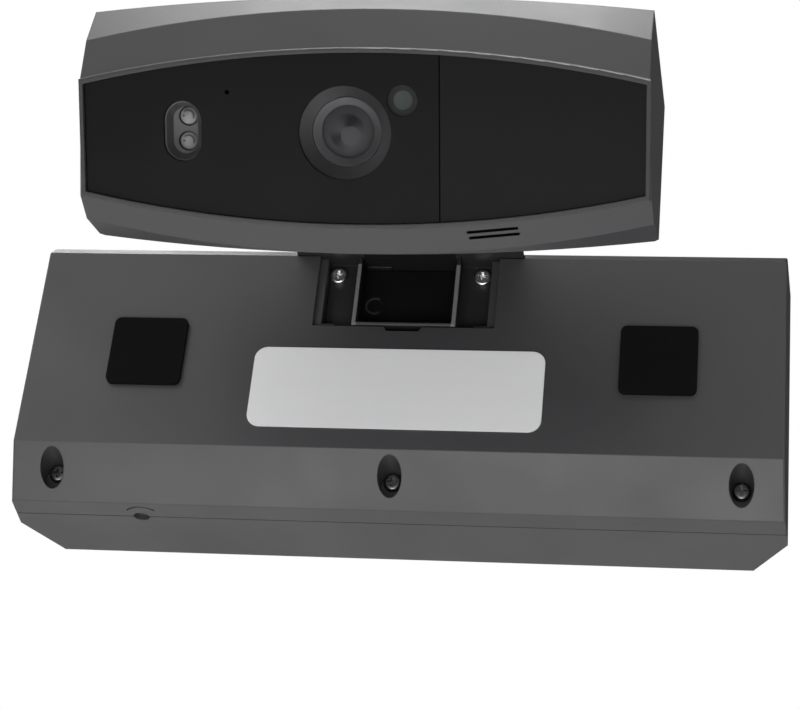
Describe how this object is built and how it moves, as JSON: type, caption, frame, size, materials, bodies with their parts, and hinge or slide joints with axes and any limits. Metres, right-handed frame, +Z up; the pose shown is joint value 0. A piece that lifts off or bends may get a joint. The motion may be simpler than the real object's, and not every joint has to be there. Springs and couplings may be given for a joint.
{
  "type": "video doorbell",
  "caption": "Over-the-door video doorbell: a tilted camera head outdoors, a thin strap over the door's top edge and a long battery box indoors.",
  "frame": {"origin": "centre of the strap's underside, where it rests on the door's top edge, midway between the door's two faces", "axes": "+Z up, +Y from outdoors to indoors, +X to the right for someone standing outdoors and facing the door"},
  "size_m": [0.232, 0.1561, 0.0944],
  "materials": {
    "housing_grey": "fine satin texture",
    "housing_dark": "satin",
    "glass_black": "polished",
    "panel_black": "semi-gloss",
    "pad_rubber": "matt",
    "label_silver": "satin, bare",
    "screw_steel": "bright",
    "strap_steel": "satin paint",
    "cell_metal": "satin",
    "contact_metal": "plated",
    "board_green": "solder mask",
    "speaker_black": "matt",
    "lens_glass": "coated",
    "lens_metal": "matt black",
    "ribbon_film": "film",
    "foam": "foam",
    "sensor_metal": "satin",
    "light_pipe": "frosted",
    "lamp_epoxy": "clear",
    "button_white": "smooth"
  },
  "bodies": {
    "indoor_unit": {"door_side_shell": "housing_grey", "case_screws": "screw_steel", "bracket_screws": "screw_steel", "label_plate": "label_silver", "battery_tray": "housing_dark", "contact_spring": "contact_metal", "main_board": "board_green", "board_screws": "screw_steel", "chime_speaker": "speaker_black", "switch_body": "speaker_black", "status_light": "light_pipe", "bay_cover": "housing_dark", "strap_bracket": "strap_steel", "strap_cover": "strap_steel", "channel_liner": "speaker_black", "strap_cable": "ribbon_film", "cable_grommet": "pad_rubber", "cell_left": "cell_metal", "cell_middle": "cell_metal", "cell_right": "cell_metal", "contact_plate_left": "contact_metal", "contact_plate_right": "contact_metal", "room_pad_left": "pad_rubber", "room_pad_right": "pad_rubber"},
    "battery_cover": {"room_side_cover": "housing_grey"},
    "pairing_button": {"pairing_button": "button_white"},
    "outdoor_unit": {"head_housing": "housing_grey", "head_glass": "glass_black", "motion_panel": "panel_black", "glass_gasket": "foam", "front_carrier": "housing_dark", "lens_hood": "lens_metal", "lens_barrel": "lens_metal", "lens_front": "lens_glass", "lens_rear": "lens_glass", "lens_holder": "lens_metal", "image_sensor": "speaker_black", "night_window": "panel_black", "night_lamps": "lamp_epoxy", "light_eye": "lens_metal", "eye_disc": "light_pipe", "microphone": "pad_rubber", "motion_sensor": "sensor_metal", "head_board": "board_green", "head_board_screws": "screw_steel", "head_speaker": "speaker_black", "speaker_gasket": "foam", "strap_guide": "housing_dark", "clamp_screws": "screw_steel", "cable_loop": "ribbon_film", "head_back_plate": "housing_grey", "head_screws": "screw_steel", "outdoor_pad_left": "pad_rubber", "outdoor_pad_right": "pad_rubber"},
    "night_filter": {"filter_slide": "sensor_metal"}
  },
  "joints": [
    {"name": "door_thickness_slide", "type": "slide", "parent": "indoor_unit", "child": "outdoor_unit", "axis": [0, 1, 0], "range_m": [0, 0.0205], "deforming": ["cable_loop"]},
    {"name": "battery_cover_slide", "type": "slide", "parent": "indoor_unit", "child": "battery_cover", "axis": [0, 1, 0], "range_m": [0, 0.06]},
    {"name": "pairing_button_press", "type": "slide", "parent": "indoor_unit", "child": "pairing_button", "axis": [0, -1, 0], "range_m": [0, 0.0008], "stiffness_N_per_m": 400},
    {"name": "night_filter_slide", "type": "slide", "parent": "outdoor_unit", "child": "night_filter", "axis": [1, 0, 0], "range_m": [0, 0.008]}
  ]
}
